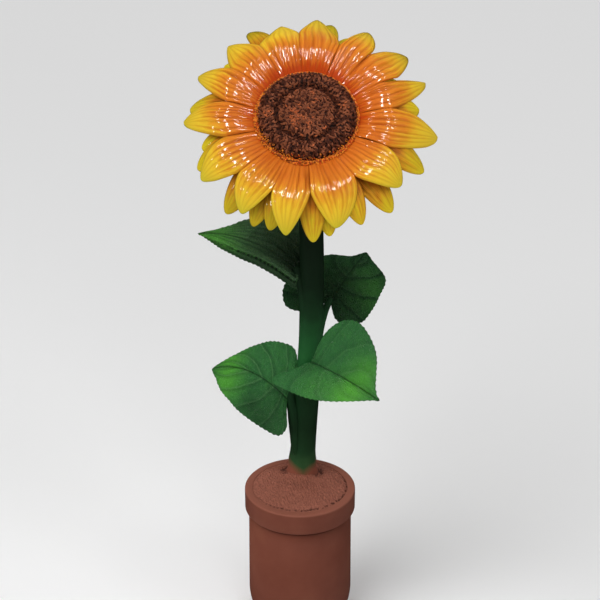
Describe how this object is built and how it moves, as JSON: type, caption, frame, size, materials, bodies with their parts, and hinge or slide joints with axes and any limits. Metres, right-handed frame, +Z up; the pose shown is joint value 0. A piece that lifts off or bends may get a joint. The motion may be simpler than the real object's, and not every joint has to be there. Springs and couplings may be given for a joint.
{
  "type": "artificial sunflower in pot",
  "caption": "Artificial sunflower moulded in resin: layered glossy petals round a textured disc on a thick stem with heart-shaped leaves, rising from moulded soil in a round pot.",
  "frame": {"origin": "centre of the pot's flat underside, where it stands", "axes": "+Z up along the pot's axis; the flower faces -Y; +X is the flower's right as the viewer in front sees it"},
  "size_m": [0.4066, 0.3381, 1.0934],
  "materials": {
    "pot": "matt terracotta paint on moulded resin",
    "soil": "matt grained paint on moulded resin",
    "stem": "matt airbrushed dark green on moulded resin",
    "leaf": "matt airbrushed green on moulded resin",
    "petal": "clear gloss coat over airbrushed yellow and orange",
    "disc": "satin dark brown, drybrushed red-brown",
    "anther": "satin orange",
    "calyx": "matt airbrushed green on moulded resin"
  },
  "bodies": {
    "root": {"pot_body": "pot", "pot_rim": "pot", "soil": "soil", "stem": "stem", "leaf_upper_left": "leaf", "leaf_upper_right": "leaf", "leaf_lower_left": "leaf", "leaf_lower_right": "leaf", "stalk_upper_left": "stem", "stalk_upper_right": "stem", "stalk_lower_left": "stem", "stalk_lower_right": "stem", "petal_front_01": "petal", "petal_front_02": "petal", "petal_front_03": "petal", "petal_front_04": "petal", "petal_front_05": "petal", "petal_front_06": "petal", "petal_front_07": "petal", "petal_front_08": "petal", "petal_front_09": "petal", "petal_front_10": "petal", "petal_front_11": "petal", "petal_front_12": "petal", "petal_front_13": "petal", "petal_front_14": "petal", "petal_middle_01": "petal", "petal_middle_02": "petal", "petal_middle_03": "petal", "petal_middle_04": "petal", "petal_middle_05": "petal", "petal_middle_06": "petal", "petal_middle_07": "petal", "petal_middle_08": "petal", "petal_middle_09": "petal", "petal_middle_10": "petal", "petal_middle_11": "petal", "petal_middle_12": "petal", "petal_back_01": "petal", "petal_back_02": "petal", "petal_back_03": "petal", "petal_back_04": "petal", "petal_back_05": "petal", "petal_back_06": "petal", "petal_back_07": "petal", "petal_back_08": "petal", "petal_back_09": "petal", "petal_back_10": "petal", "disc": "disc", "anther_ring": "anther", "calyx": "calyx"}
  },
  "joints": []
}
